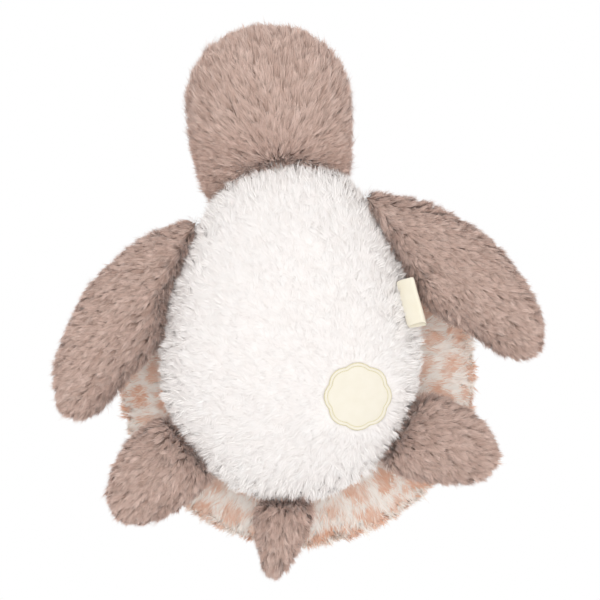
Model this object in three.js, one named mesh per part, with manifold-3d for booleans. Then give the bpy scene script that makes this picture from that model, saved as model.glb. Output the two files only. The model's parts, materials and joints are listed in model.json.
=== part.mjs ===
// A stuffed plush turtle lying on its belly, built the way it is sewn: cloth panels round stuffing,
// with the head, flippers, feet, tail and ribbon hinged along their seams.
// Millimetres. +Z up, the head towards -Y, the turtle's own left towards +X.
// The origin is the middle of the belly, on the surface that the toy rests on.

import * as THREE from "three";
import { mergeVertices } from "three/addons/utils/BufferGeometryUtils.js";
import Module from "manifold-3d";

const wasm = await Module();
wasm.setup();
const degrees = THREE.MathUtils.degToRad;

// Cloth and the clearances between pieces
const clothWall = 3; // backing and pressed pile together
const seamGap = 0.3; // between two pieces that touch
const limbGap = 0.4; // between a limb's root and the side that it is sewn to
const restFlat = 0.5; // how deep the belly is pressed flat
const overrun = 400; // how far a cutting block reaches past the toy

// Body: a fat egg-shaped cushion
const bodyLength = 218;
const bodyWidth = 164;
const bodyMiddleHeight = 25;
const bodyRise = 44;
const bodyFullness = 2.15;
const bellySeamHeight = 31;
const backSeamHeight = 44;

// Shell: a round cushion sewn to the back
const shellWidth = 237;
const shellLength = 229;
const shellMiddle = new THREE.Vector3(4.5, 21, 63);
const shellDrop = 13.5;
const shellRise = 53;
const shellFullness = 2.2;

// Head: a ball that tapers to the neck, hinged inside the chest's round front
const headLength = 116;
const headWidth = 104;
const headHeight = 72;
const headFullness = 2.1;
const headTilt = degrees(-2);
const headTurn = degrees(-5.5);
const neckHinge = new THREE.Vector3(-8, -91.5, 25);
const headLift = 22; // the head's middle plane over the hinge
const headRaise = degrees(6); // how far the head lifts

// Eyes: domes on a shank, each held by a washer behind the cloth
const eyeDiameter = 9;
const eyeHeight = 3.4;
const eyeSink = 0.8;
const eyeSpacing = 52;
const eyeForward = 87;
const shankDiameter = 3;
const shankLength = 10;
const washerDiameter = 12;
const washerThickness = 1.2;
const washerDepth = 4.2;

// Limbs: flat leaves whose root edge is their hinge
const flipperLength = 127;
const flipperWidth = 54;
const flipperThickness = 30;
const flipperRoot = 56;
const flipperDroop = degrees(7);
const footLength = 62;
const footWidth = 54;
const footThickness = 27;
const footRoot = 46;
const footDroop = degrees(6);
const tailLength = 50;
const tailWidth = 36;
const tailThickness = 24;
const tailRoot = 30;
const tailDroop = degrees(4);
const limbFullness = 2.05;

// Trimmings
const patchDiameter = 43;
const patchThickness = 0.7;
const patchSink = 1.2; // how deep the patch presses into the pile
const patchLobes = 8;
const scallopDepth = 1.6;
const stitchWidth = 1.6;
const stitchHeight = 0.5;
const stitchInset = 2;
const ribbonWidth = 30;
const ribbonReach = 12;
const ribbonThickness = 0.5;
const ribbonLoop = 3;
const ribbonDroop = degrees(28);
const ribbonHeight = 15; // of the row of thread that holds the ribbon
const ribbonGap = 0.9; // from the belly to the loop's open root

// Where the limbs and the ribbon leave the body, as shares of the way round it from the chest
const leftFlipperShare = 0.13;
const rightFlipperShare = 0.837;
const leftFootShare = 0.356;
const rightFootShare = 0.627;
const tailShare = 0.504;
const ribbonShare = 0.213;

// The patch's middle, as shares of the body's width and length
const patchMiddleShares = [0.262, 0.147];

// How far each limb leans from square to its root, towards the tail
const leftFlipperSweep = degrees(67.5);
const rightFlipperSweep = degrees(73.5);
const leftFootSweep = degrees(-13);
const rightFootSweep = degrees(6);
const tailSweep = degrees(11);

// Half outlines as shares [of the width, of the length], from the head end to the tail end
const bodyHalfShares = [
  [0, -0.544], [0.125, -0.523], [0.219, -0.486], [0.294, -0.42], [0.341, -0.358], [0.403, -0.275],
  [0.458, -0.154], [0.491, -0.041], [0.5, 0.078], [0.478, 0.165], [0.414, 0.273], [0.322, 0.353],
  [0.19, 0.425], [0.075, 0.453], [0, 0.456],
];
const shellHalfShares = [
  [0, -0.5], [0.19, -0.462], [0.353, -0.353], [0.462, -0.19], [0.5, 0], [0.462, 0.19],
  [0.353, 0.353], [0.19, 0.462], [0, 0.5],
];
const headHalfShares = [
  [0, -1], [0.15, -0.978], [0.3, -0.92], [0.4, -0.83], [0.472, -0.73], [0.5, -0.585],
  [0.49, -0.44], [0.456, -0.27], [0.418, -0.12], [0.33, 0], [0, 0],
];

// Leaves as shares [of the length, of the width], from the front root corner round the tip and back
const flipperLeafShares = [
  [0.03, -0.49], [0.25, -0.61], [0.42, -0.64], [0.6, -0.56], [0.78, -0.42], [0.92, -0.22],
  [0.99, 0.06], [0.94, 0.28], [0.82, 0.35], [0.68, 0.34], [0.52, 0.4], [0.39, 0.4],
];
const footLeafShares = [
  [0.13, -0.49], [0.36, -0.51], [0.62, -0.43], [0.84, -0.32], [0.97, -0.15], [1, 0.05],
  [0.94, 0.23], [0.78, 0.34], [0.54, 0.41], [0.29, 0.47],
];
const tailLeafShares = [
  [0.25, -0.45], [0.55, -0.33], [0.82, -0.2], [1, 0], [0.82, 0.2], [0.55, 0.33], [0.25, 0.45],
];

// How finely the forms are cut
const bodyPoints = 32;
const shellPoints = 32;
const headPoints = 26;
const flipperPoints = 24;
const footPoints = 20;
const tailPoints = 16;
const rootPoints = 4;
const patchPoints = 40;
const roundPoints = 12;

// Cloths and trimmings, one material each
function brownPlush() {
  return new THREE.MeshStandardMaterial({ color: 0xac9285, roughness: 1, metalness: 0 });
}

function whitePlush() {
  return new THREE.MeshStandardMaterial({ color: 0xf8f3ee, roughness: 1, metalness: 0 });
}

function mottledFur() {
  return new THREE.MeshStandardMaterial({ color: 0xe3cbb8, roughness: 1, metalness: 0 });
}

function brownCloth() {
  return new THREE.MeshStandardMaterial({ color: 0x947a6d, roughness: 0.95, metalness: 0 });
}

function fibreFill() {
  return new THREE.MeshStandardMaterial({ color: 0xf4f4f0, roughness: 1, metalness: 0 });
}

function creamCloth() {
  return new THREE.MeshStandardMaterial({ color: 0xf8f0e0, roughness: 0.9, metalness: 0 });
}

function yellowThread() {
  return new THREE.MeshStandardMaterial({ color: 0xd8cc86, roughness: 0.6, metalness: 0 });
}

function creamSatin() {
  return new THREE.MeshStandardMaterial({ color: 0xf9f2dd, roughness: 0.5, metalness: 0 });
}

function darkPlastic() {
  return new THREE.MeshStandardMaterial({ color: 0x1d1512, roughness: 0.12, metalness: 0 });
}

function clearPlastic() {
  return new THREE.MeshStandardMaterial({ color: 0xe6e6e2, roughness: 0.4, metalness: 0 });
}

// Between three.js geometry and solids that can be joined and cut
function solidOf(geometry) {
  const bare = geometry.clone();
  bare.deleteAttribute("normal");
  bare.deleteAttribute("uv");
  const merged = mergeVertices(bare);
  return new wasm.Manifold(new wasm.Mesh({
    numProp: 3,
    vertProperties: new Float32Array(merged.attributes.position.array),
    triVerts: new Uint32Array(merged.index.array),
  }));
}

function geometryOf(solid) {
  const { vertProperties, triVerts } = solid.getMesh();
  const geometry = new THREE.BufferGeometry();
  geometry.setAttribute("position", new THREE.BufferAttribute(vertProperties, 3));
  geometry.setIndex(new THREE.BufferAttribute(triVerts, 1));
  geometry.computeVertexNormals();
  return geometry;
}

function addPiece(group, name, solid, material) {
  const piece = new THREE.Mesh(geometryOf(solid), material);
  piece.name = name;
  group.add(piece);
}

// A solid of the world, or of one group, as another group sees it
function seenFrom(group, solid, from = new THREE.Group()) {
  group.updateWorldMatrix(true, false);
  from.updateWorldMatrix(true, false);
  const change = group.matrixWorld.clone().invert().multiply(from.matrixWorld);
  return solid.transform(change.elements);
}

// Blocks that cut along a level plane
function block(bottom, top) {
  const box = new THREE.BoxGeometry(2 * overrun, 2 * overrun, top - bottom);
  return solidOf(box.translate(0, 0, (top + bottom) / 2));
}

function below(height) {
  return block(height - overrun, height);
}

function above(height) {
  return block(height, height + overrun);
}

// Outlines: closed rounds of points, anticlockwise from above
function wholeCurve(halfShares, width, length) {
  const right = halfShares.map(([across, along]) => [across * width, along * length]);
  const left = right.slice(1, -1).reverse().map(([x, y]) => [-x, y]);
  const points = [...right, ...left].map(([x, y]) => new THREE.Vector3(x, y, 0));
  return new THREE.CatmullRomCurve3(points, true, "centripetal");
}

function outlineOf(curve, count) {
  return curve.getSpacedPoints(count).slice(0, count).map(({ x, y }) => new THREE.Vector2(x, y));
}

function leafOutline({ leafShares, length, width, root, sweep, side, points }) {
  const lean = new THREE.Vector2();
  const leaf = leafShares.map(([along, across]) =>
    new THREE.Vector2(along * length, across * width).rotateAround(lean, sweep));
  const corners = [new THREE.Vector2(0, -root / 2), new THREE.Vector2(0, root / 2)];
  const stops = [corners[0], ...leaf, corners[1]].map(({ x, y }) => new THREE.Vector3(x, y, 0));
  const curve = new THREE.CatmullRomCurve3(stops, false, "centripetal");
  const round = curve.getSpacedPoints(points - rootPoints).map(({ x, y }) => new THREE.Vector2(x, y));
  for (let step = 1; step < rootPoints; step += 1) {
    round.push(corners[1].clone().lerp(corners[0], step / rootPoints));
  }
  return side > 0 ? round : round.map(({ x, y }) => new THREE.Vector2(x, -y)).reverse();
}

function insetOutline(outline, distance) {
  return outline.map((point, place) => {
    const before = outline.at(place - 1);
    const after = outline[(place + 1) % outline.length];
    const along = after.clone().sub(before).normalize();
    return new THREE.Vector2(point.x - along.y * distance, point.y + along.x * distance);
  });
}

// How far a point lies from the form's middle to its edge, as a share
function shareOut({ outline, middle }, x, y) {
  const ray = new THREE.Vector2(x, y).sub(middle);
  for (let place = 0; place < outline.length; place += 1) {
    const start = outline[place].clone().sub(middle);
    const end = outline[(place + 1) % outline.length].clone().sub(middle);
    const turn = start.cross(end);
    const first = ray.cross(end) / turn;
    const second = start.cross(ray) / turn;
    if (first >= 0 && second >= 0) return first + second;
  }
  return 0;
}

function swellAt(form, x, y) {
  const share = Math.min(shareOut(form, x, y), 1);
  return (1 - share ** form.fullness) ** (1 / form.fullness);
}

// A stuffed form: its outline at the middle height, swelling to drop and rise, sunk by depth all over
function cushion(form, depth = 0) {
  const edge = insetOutline(form.outline, depth);
  const count = edge.length;
  const rings = depth > 0 ? form.innerRings : form.rings;
  const positions = [];
  const faces = [];
  const addPole = (height) => positions.push(form.middle.x, form.middle.y, height);
  const addRing = (lean, reach) => {
    const share = Math.sin(lean) ** (2 / form.fullness);
    const height = reach * Math.cos(lean) ** (2 / form.fullness);
    for (const point of edge) {
      const spot = form.middle.clone().lerp(point, share);
      positions.push(spot.x, spot.y, height);
    }
  };
  addPole(depth - form.drop);
  for (let ring = 1; ring < rings; ring += 1) addRing((ring / rings) * Math.PI / 2, depth - form.drop);
  addRing(Math.PI / 2, 0);
  for (let ring = rings - 1; ring > 0; ring -= 1) addRing((ring / rings) * Math.PI / 2, form.rise - depth);
  addPole(form.rise - depth);
  const top = positions.length / 3 - 1;
  for (let place = 0; place < count; place += 1) {
    const next = (place + 1) % count;
    faces.push(0, 1 + next, 1 + place);
    for (let ring = 0; ring < 2 * rings - 2; ring += 1) {
      const low = 1 + ring * count;
      const high = low + count;
      faces.push(low + place, low + next, high + next, low + place, high + next, high + place);
    }
    const last = top - count;
    faces.push(last + place, last + next, top);
  }
  const geometry = new THREE.BufferGeometry();
  geometry.setAttribute("position", new THREE.Float32BufferAttribute(positions, 3));
  geometry.setIndex(faces);
  return solidOf(geometry);
}

// The form's cloth skin and the stuffing in it. Each trim is a neighbour, grown by the depth it is asked for.
function stuffed(form, trims) {
  const cut = (depth) =>
    trims.reduce((solid, trim) => solid.subtract(trim(depth)), cushion(form, depth));
  return { skin: cut(0).subtract(cut(clothWall)), core: cut(clothWall + seamGap) };
}

function upperPanel(skin, height = 0) {
  return skin.intersect(above(height + seamGap / 2));
}

function lowerPanel(skin, height = 0) {
  return skin.intersect(below(height - seamGap / 2));
}

// The straight seat of a root on a curve: its middle, and the bearing that it faces
function seatOn(curve, share, root, gap) {
  const { x: alongX, y: alongY } = curve.getTangentAt(share);
  const normal = new THREE.Vector2(alongY, -alongX);
  const spot = new THREE.Vector2().copy(curve.getPointAt(share));
  const half = root / 2 / curve.getLength();
  const bulges = [-1, -0.5, 0, 0.5, 1].map((step) =>
    new THREE.Vector2().copy(curve.getPointAt(share + step * half)).sub(spot).dot(normal));
  spot.addScaledVector(normal, Math.max(...bulges) + gap);
  return { x: spot.x, y: spot.y, heading: normal.angle() };
}

const turtle = new THREE.Group();

// Body and shell
const bodyCurve = wholeCurve(bodyHalfShares, bodyWidth, bodyLength);
const bodyForm = {
  outline: outlineOf(bodyCurve, bodyPoints),
  middle: new THREE.Vector2(),
  drop: bodyMiddleHeight + restFlat,
  rise: bodyRise,
  fullness: bodyFullness,
  rings: 5,
  innerRings: 3,
};

const shellForm = {
  outline: outlineOf(wholeCurve(shellHalfShares, shellWidth, shellLength), shellPoints),
  middle: new THREE.Vector2(),
  drop: shellDrop,
  rise: shellRise,
  fullness: shellFullness,
  rings: 5,
  innerRings: 3,
};

const patchMiddle = new THREE.Vector2(patchMiddleShares[0] * bodyWidth, patchMiddleShares[1] * bodyLength);

// The belly's lower face at a place on it, from the body's middle height
function bellyHeight(x, y) {
  return Math.max(-bodyForm.drop * swellAt(bodyForm, x, y), -bodyMiddleHeight);
}

// A plate with the patch's scalloped edge that follows the belly, from low to high over its face
function bellyPlate(radius, low, high, hole = 0) {
  const rounds = hole > 0 ? [hole, radius] : [radius / 3, 2 * radius / 3, radius];
  const positions = [];
  const faces = [];
  const ringOf = (reach, lift) => {
    for (let step = 0; step < patchPoints; step += 1) {
      const angle = (2 * Math.PI * step) / patchPoints;
      const wave = 1 - Math.abs(Math.cos((patchLobes * angle) / 2));
      const out = reach - scallopDepth * wave * (reach / radius);
      const x = patchMiddle.x + out * Math.cos(angle);
      const y = patchMiddle.y + out * Math.sin(angle);
      positions.push(x, y, bellyHeight(x, y) + lift);
    }
  };
  const lifts = [...rounds.map((reach) => [reach, low]), ...rounds.toReversed().map((reach) => [reach, high])];
  for (const [reach, lift] of lifts) ringOf(reach, lift);
  const count = lifts.length;
  const bands = hole > 0 ? count : count - 1;
  for (let band = 0; band < bands; band += 1) {
    const inner = band * patchPoints;
    const outer = ((band + 1) % count) * patchPoints;
    for (let step = 0; step < patchPoints; step += 1) {
      const next = (step + 1) % patchPoints;
      faces.push(inner + step, inner + next, outer + next, inner + step, outer + next, outer + step);
    }
  }
  if (hole === 0) {
    const middleLow = positions.length / 3;
    const height = bellyHeight(patchMiddle.x, patchMiddle.y);
    positions.push(patchMiddle.x, patchMiddle.y, height + low, patchMiddle.x, patchMiddle.y, height + high);
    const lastRing = (count - 1) * patchPoints;
    for (let step = 0; step < patchPoints; step += 1) {
      const next = (step + 1) % patchPoints;
      faces.push(middleLow, next, step, middleLow + 1, lastRing + step, lastRing + next);
    }
  }
  const geometry = new THREE.BufferGeometry();
  geometry.setAttribute("position", new THREE.Float32BufferAttribute(positions, 3));
  geometry.setIndex(faces);
  return solidOf(geometry);
}

// The body's panels, pressed flat by what the toy lies on and shaped by the shell on its back
const shell = new THREE.Group();
shell.position.copy(shellMiddle);
turtle.add(shell);
const body = new THREE.Group();
body.position.z = bodyMiddleHeight;
turtle.add(body);

function restUnder(depth) {
  return below(depth - bodyMiddleHeight);
}

function shellOver(depth) {
  return seenFrom(body, cushion(shellForm, -seamGap - depth), shell);
}

const bellySeam = bellySeamHeight - bodyMiddleHeight;
const backSeam = backSeamHeight - bodyMiddleHeight;
const patchRadius = patchDiameter / 2;
const patchFace = patchSink - patchThickness;
const patchRecess = bellyPlate(patchRadius + seamGap, -patchSink, patchSink + seamGap);
const bodyParts = stuffed(bodyForm, [restUnder, shellOver]);
const sides = upperPanel(lowerPanel(bodyParts.skin, backSeam), bellySeam);
addPiece(body, "belly_panel", lowerPanel(bodyParts.skin, bellySeam).subtract(patchRecess), whitePlush());
addPiece(body, "side_band", sides, brownPlush());
addPiece(body, "back_panel", upperPanel(bodyParts.skin, backSeam), brownCloth());
addPiece(body, "body_stuffing", bodyParts.core, fibreFill());

// The name patch, sewn into the belly's pile, and its raised stitched border
const stitchOut = patchRadius - stitchInset;
const stitchTop = patchFace - seamGap;
addPiece(body, "name_patch", bellyPlate(patchRadius, patchFace, patchSink), creamCloth());
addPiece(body, "patch_stitching",
  bellyPlate(stitchOut, stitchTop - stitchHeight, stitchTop, stitchOut - stitchWidth), yellowThread());

// Shell
const shellParts = stuffed(shellForm, []);
addPiece(shell, "shell_top_panel", upperPanel(shellParts.skin), mottledFur());
addPiece(shell, "shell_under_panel", lowerPanel(shellParts.skin), mottledFur());
addPiece(shell, "shell_stuffing", shellParts.core, fibreFill());

// The chest's round front, swept about the neck hinge, so that the head nods on it without rubbing
function chestSweep(depth) {
  const grow = seamGap + depth;
  const front = bodyForm.outline.filter(({ y }) => y < neckHinge.y).sort((one, two) => one.x - two.x);
  const profile = front.map(({ x, y }) => new THREE.Vector2(neckHinge.y - y + grow, x));
  profile.unshift(new THREE.Vector2(0, front[0].x - grow));
  profile.push(new THREE.Vector2(0, front.at(-1).x + grow));
  const sweep = new THREE.LatheGeometry(profile, bodyPoints).rotateZ(-Math.PI / 2);
  return seenFrom(head, solidOf(sweep.translate(0, neckHinge.y, neckHinge.z)));
}

// A neighbour's form, grown, as a limb or the head sees it
function beside(group, form, place) {
  return (depth) => seenFrom(group, cushion(form, -seamGap - depth), place);
}

// The same neighbour as the head meets it when lifted about the neck hinge
function besideLifted(form, place) {
  const pivot = new THREE.Group();
  pivot.position.copy(neckHinge);
  pivot.rotation.x = headRaise;
  const { x, y, z } = place.position.clone().sub(neckHinge);
  return (depth) => seenFrom(head, cushion(form, -seamGap - depth).translate(x, y, z), pivot);
}

// A round piece turned about +Z from its profile [radius, height], from the top down
function turned(profile, facets) {
  const points = profile.map(([radius, height]) => new THREE.Vector2(radius, height)).reverse();
  return solidOf(new THREE.LatheGeometry(points, facets).rotateX(Math.PI / 2));
}

// Head
const head = new THREE.Group();
head.position.set(neckHinge.x, neckHinge.y, neckHinge.z + headLift);
head.rotation.set(headTilt, 0, headTurn, "ZYX");
turtle.add(head);
const headForm = {
  outline: outlineOf(wholeCurve(headHalfShares, headWidth, headLength), headPoints),
  middle: new THREE.Vector2(0, -headLength / 2),
  drop: headHeight / 2,
  rise: headHeight / 2,
  fullness: headFullness,
  rings: 6,
  innerRings: 4,
};
const headParts = stuffed(headForm, [
  chestSweep,
  beside(head, bodyForm, body),
  besideLifted(bodyForm, body),
  beside(head, shellForm, shell),
  besideLifted(shellForm, shell),
]);

// Each eye stands square to the head's top where it sits
function headTop(x, y) {
  return headForm.rise * swellAt(headForm, x, y);
}

function eyeFrame(side) {
  const x = (side * eyeSpacing) / 2;
  const y = -eyeForward;
  const step = eyeDiameter / 4;
  const slopeX = (headTop(x + step, y) - headTop(x - step, y)) / (2 * step);
  const slopeY = (headTop(x, y + step) - headTop(x, y - step)) / (2 * step);
  const frame = new THREE.Group();
  frame.position.set(x, y, headTop(x, y));
  const normal = new THREE.Vector3(-slopeX, -slopeY, 1).normalize();
  frame.quaternion.setFromUnitVectors(new THREE.Vector3(0, 0, 1), normal);
  head.add(frame);
  return frame;
}

const eyeRadius = eyeDiameter / 2;
const shankRadius = shankDiameter / 2;
const washerRadius = washerDiameter / 2;

function eyeSolid() {
  const domeSteps = 5;
  const dome = Array.from({ length: domeSteps + 1 }, (_, step) => {
    const lean = (step / domeSteps) * (Math.PI / 2);
    return [eyeRadius * Math.sin(lean), eyeHeight * Math.cos(lean)];
  });
  return turned([...dome, [eyeRadius, -eyeSink], [shankRadius, -eyeSink], [shankRadius, -shankLength],
    [0, -shankLength]], roundPoints);
}

function washerSolid() {
  const hole = shankRadius + seamGap;
  const low = -washerDepth - washerThickness;
  return turned([[hole, -washerDepth], [washerRadius, -washerDepth], [washerRadius, low], [hole, low],
    [hole, -washerDepth]], roundPoints);
}

// The hole for an eye's dome and shank, and the pocket in the stuffing for its washer
function eyeHole() {
  const seat = eyeRadius + seamGap;
  const hole = shankRadius + seamGap;
  const floor = -eyeSink - seamGap;
  const end = -shankLength - seamGap;
  return turned([[0, eyeHeight + eyeDiameter], [seat, eyeHeight + eyeDiameter], [seat, floor], [hole, floor],
    [hole, end], [0, end]], roundPoints);
}

function washerPocket() {
  const wide = washerRadius + seamGap;
  const end = -shankLength - seamGap;
  return turned([[0, 0], [wide, 0], [wide, end], [0, end]], roundPoints);
}

let headTopPanel = upperPanel(headParts.skin);
let headCore = headParts.core;
for (const [side, name] of [[1, "left"], [-1, "right"]]) {
  const frame = eyeFrame(side);
  headTopPanel = headTopPanel.subtract(seenFrom(head, eyeHole(), frame));
  headCore = headCore.subtract(seenFrom(head, washerPocket(), frame));
  addPiece(frame, `eye_${name}`, eyeSolid(), darkPlastic());
  addPiece(frame, `eye_washer_${name}`, washerSolid(), clearPlastic());
}
addPiece(head, "head_top_panel", headTopPanel, brownPlush());
addPiece(head, "head_under_panel", lowerPanel(headParts.skin), brownPlush());
addPiece(head, "head_stuffing", headCore, fibreFill());

// Limbs: each is two panels sewn round its edge and stuffed, its straight root along the body's side
function addLimb(name, share, side, sweep, droop, leaf) {
  const seat = seatOn(bodyCurve, share, leaf.root, limbGap);
  const limb = new THREE.Group();
  limb.position.set(seat.x, seat.y, bodyMiddleHeight);
  limb.rotation.set(0, droop, seat.heading, "ZYX");
  turtle.add(limb);
  const [along, across] = leaf.middleShares;
  const middle = new THREE.Vector2(along * leaf.length, across * leaf.width);
  middle.rotateAround(new THREE.Vector2(), sweep);
  middle.y *= side;
  const form = {
    outline: leafOutline({ ...leaf, sweep, side }),
    middle,
    drop: leaf.thickness / 2,
    rise: leaf.thickness / 2,
    fullness: limbFullness,
    rings: 4,
    innerRings: 2,
  };
  const { skin, core } = stuffed(form, [beside(limb, bodyForm, body)]);
  addPiece(limb, `${name}_top_panel`, upperPanel(skin), brownPlush());
  addPiece(limb, `${name}_under_panel`, lowerPanel(skin), brownPlush());
  addPiece(limb, `${name}_stuffing`, core, fibreFill());
}

const flipperLeaf = {
  leafShares: flipperLeafShares,
  middleShares: [0.46, -0.08],
  length: flipperLength,
  width: flipperWidth,
  thickness: flipperThickness,
  root: flipperRoot,
  points: flipperPoints,
};
const footLeaf = {
  leafShares: footLeafShares,
  middleShares: [0.45, 0],
  length: footLength,
  width: footWidth,
  thickness: footThickness,
  root: footRoot,
  points: footPoints,
};
const tailLeaf = {
  leafShares: tailLeafShares,
  middleShares: [0.35, 0],
  length: tailLength,
  width: tailWidth,
  thickness: tailThickness,
  root: tailRoot,
  points: tailPoints,
};
addLimb("flipper_left", leftFlipperShare, 1, leftFlipperSweep, flipperDroop, flipperLeaf);
addLimb("flipper_right", rightFlipperShare, -1, rightFlipperSweep, flipperDroop, flipperLeaf);
addLimb("hind_foot_left", leftFootShare, 1, leftFootSweep, footDroop, footLeaf);
addLimb("hind_foot_right", rightFootShare, -1, rightFootSweep, footDroop, footLeaf);
addLimb("tail", tailShare, 1, tailSweep, tailDroop, tailLeaf);

// The ribbon label: a folded loop sewn to the belly's side, open at both ends
function ribbonSolid() {
  const outer = ribbonLoop / 2;
  const inner = outer - ribbonThickness;
  const bend = ribbonReach - outer;
  const fold = new THREE.Shape();
  fold.moveTo(0, -outer);
  fold.lineTo(bend, -outer);
  fold.absarc(bend, 0, outer, -Math.PI / 2, Math.PI / 2, false);
  fold.lineTo(0, outer);
  fold.lineTo(0, inner);
  fold.lineTo(bend, inner);
  fold.absarc(bend, 0, inner, Math.PI / 2, -Math.PI / 2, true);
  fold.lineTo(0, -inner);
  fold.closePath();
  const strip = new THREE.ExtrudeGeometry(fold, { depth: ribbonWidth, bevelEnabled: false, curveSegments: 8 });
  return solidOf(strip.translate(0, 0, -ribbonWidth / 2).rotateX(Math.PI / 2));
}

const ribbonDrop = (bodyMiddleHeight - ribbonHeight) / bodyForm.drop;
const ribbonIn = (1 - ribbonDrop ** bodyFullness) ** (1 / bodyFullness);
const ribbonSeat = seatOn(bodyCurve, ribbonShare, ribbonWidth, 0);
const ribbon = new THREE.Group();
ribbon.position.set(
  ribbonSeat.x * ribbonIn + ribbonGap * Math.cos(ribbonSeat.heading),
  ribbonSeat.y * ribbonIn + ribbonGap * Math.sin(ribbonSeat.heading),
  ribbonHeight,
);
ribbon.rotation.set(0, ribbonDroop, ribbonSeat.heading, "ZYX");
turtle.add(ribbon);
addPiece(ribbon, "ribbon_label", ribbonSolid(), creamSatin());

export default turtle;
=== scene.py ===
import bpy
import bmesh
import json
import math
import numpy as np
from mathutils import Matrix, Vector
from mathutils.bvhtree import BVHTree
from mathutils.kdtree import KDTree


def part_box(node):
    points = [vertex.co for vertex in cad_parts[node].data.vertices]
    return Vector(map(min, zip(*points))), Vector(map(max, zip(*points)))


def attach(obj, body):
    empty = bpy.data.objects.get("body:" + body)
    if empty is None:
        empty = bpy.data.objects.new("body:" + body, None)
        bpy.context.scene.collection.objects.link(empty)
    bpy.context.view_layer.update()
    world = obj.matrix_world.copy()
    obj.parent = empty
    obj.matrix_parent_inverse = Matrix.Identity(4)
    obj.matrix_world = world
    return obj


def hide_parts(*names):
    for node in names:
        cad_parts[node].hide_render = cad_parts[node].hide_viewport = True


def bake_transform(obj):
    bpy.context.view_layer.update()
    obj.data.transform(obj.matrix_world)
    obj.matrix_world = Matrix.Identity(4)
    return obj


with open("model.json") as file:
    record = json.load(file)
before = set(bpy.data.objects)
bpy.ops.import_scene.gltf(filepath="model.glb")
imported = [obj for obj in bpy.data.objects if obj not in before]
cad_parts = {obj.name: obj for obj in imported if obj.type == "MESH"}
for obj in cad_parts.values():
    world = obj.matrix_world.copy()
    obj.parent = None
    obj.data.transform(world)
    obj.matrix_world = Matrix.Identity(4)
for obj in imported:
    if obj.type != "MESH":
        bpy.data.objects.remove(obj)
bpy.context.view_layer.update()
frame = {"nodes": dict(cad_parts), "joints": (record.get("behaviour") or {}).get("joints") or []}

# The table under the turtle and the studio light round it.
# The turtle lies on its belly and is seen from below, through the table: a ray from the camera
# passes the table's under side, and from above it is a plain pale surface that holds the shadow.
scene = bpy.context.scene
scene.view_settings.view_transform = "Standard"


def deselect():
    if bpy.context.object and bpy.context.object.mode != "OBJECT":
        bpy.ops.object.mode_set(mode="OBJECT")
    bpy.ops.object.select_all(action="DESELECT")


def dye(red, green, blue):
    """A colour as it looks, 0 to 255, for a shader's socket."""
    shares = (channel / 255 for channel in (red, green, blue))
    return (*(s / 12.92 if s <= 0.04045 else ((s + 0.055) / 1.055) ** 2.4 for s in shares), 1)


deselect()
bpy.ops.mesh.primitive_plane_add(size=3, location=(0, 0, 0))
table = bpy.context.object
table.name = "table"
table_white = bpy.data.materials.new("table_white")
table_white.use_nodes = True
nodes = table_white.node_tree.nodes
links = table_white.node_tree.links
nodes.clear()
path = nodes.new("ShaderNodeLightPath")
side = nodes.new("ShaderNodeNewGeometry")
from_above = nodes.new("ShaderNodeMath")
from_above.operation = "SUBTRACT"
from_above.inputs[0].default_value = 1
links.new(side.outputs["Backfacing"], from_above.inputs[1])
seen = nodes.new("ShaderNodeMath")
seen.operation = "MULTIPLY"
links.new(path.outputs["Is Camera Ray"], seen.inputs[0])
links.new(from_above.outputs[0], seen.inputs[1])
clear = nodes.new("ShaderNodeBsdfTransparent")
pale = nodes.new("ShaderNodeBsdfDiffuse")
pale.inputs["Color"].default_value = dye(247, 246, 244)
either = nodes.new("ShaderNodeMixShader")
links.new(seen.outputs[0], either.inputs[0])
links.new(clear.outputs[0], either.inputs[1])
links.new(pale.outputs[0], either.inputs[2])
surface = nodes.new("ShaderNodeOutputMaterial")
links.new(either.outputs[0], surface.inputs["Surface"])
table.data.materials.append(table_white)

# The studio round it is plain white where it is seen, and a little dimmer as light.
world = bpy.data.worlds.new("studio")
scene.world = world
world.use_nodes = True
nodes = world.node_tree.nodes
links = world.node_tree.links
nodes.clear()
path = nodes.new("ShaderNodeLightPath")
mirrored = nodes.new("ShaderNodeMath")
mirrored.operation = "MAXIMUM"
links.new(path.outputs["Is Camera Ray"], mirrored.inputs[0])
links.new(path.outputs["Is Glossy Ray"], mirrored.inputs[1])
through = nodes.new("ShaderNodeMath")
through.operation = "MAXIMUM"
links.new(mirrored.outputs[0], through.inputs[0])
links.new(path.outputs["Is Transmission Ray"], through.inputs[1])
level = nodes.new("ShaderNodeMapRange")
level.inputs["To Min"].default_value = 0.8
level.inputs["To Max"].default_value = 1
links.new(through.outputs[0], level.inputs["Value"])
sky = nodes.new("ShaderNodeBackground")
sky.inputs["Color"].default_value = (1, 1, 1, 1)
links.new(level.outputs[0], sky.inputs["Strength"])
shown = nodes.new("ShaderNodeOutputWorld")
links.new(sky.outputs[0], shown.inputs["Surface"])

middle = Vector((0.006, -0.029, 0.03))
for name, place, power, size in (
    ("lamp_below_key", (-0.2, -0.3, -1.2), 3.6, 1.0),
    ("lamp_below_fill", (0.35, 0.2, -1.15), 3.2, 1.2),
    ("lamp_above_key", (-0.6, -0.7, 1.2), 9.0, 0.9),
    ("lamp_above_fill", (0.9, 0.6, 1.0), 7.5, 1.2),
):
    lamp = bpy.data.lights.new(name, "AREA")
    lamp.energy = power
    lamp.size = size
    stand = bpy.data.objects.new(name, lamp)
    scene.collection.objects.link(stand)
    stand.location = place
    stand.rotation_euler = (middle - Vector(place)).to_track_quat("-Z", "Y").to_euler()

lens = bpy.data.cameras.new("camera")
lens.sensor_width = 36
lens.lens = 100
lens.clip_end = 10
camera = bpy.data.objects.new("camera", lens)
scene.collection.objects.link(camera)
camera_distance = 1.0717
outline_height = 0.025
camera.location = (0.0064, -0.0289, outline_height - camera_distance)
camera.rotation_euler = (math.pi, 0, 0)
scene.camera = camera

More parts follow.
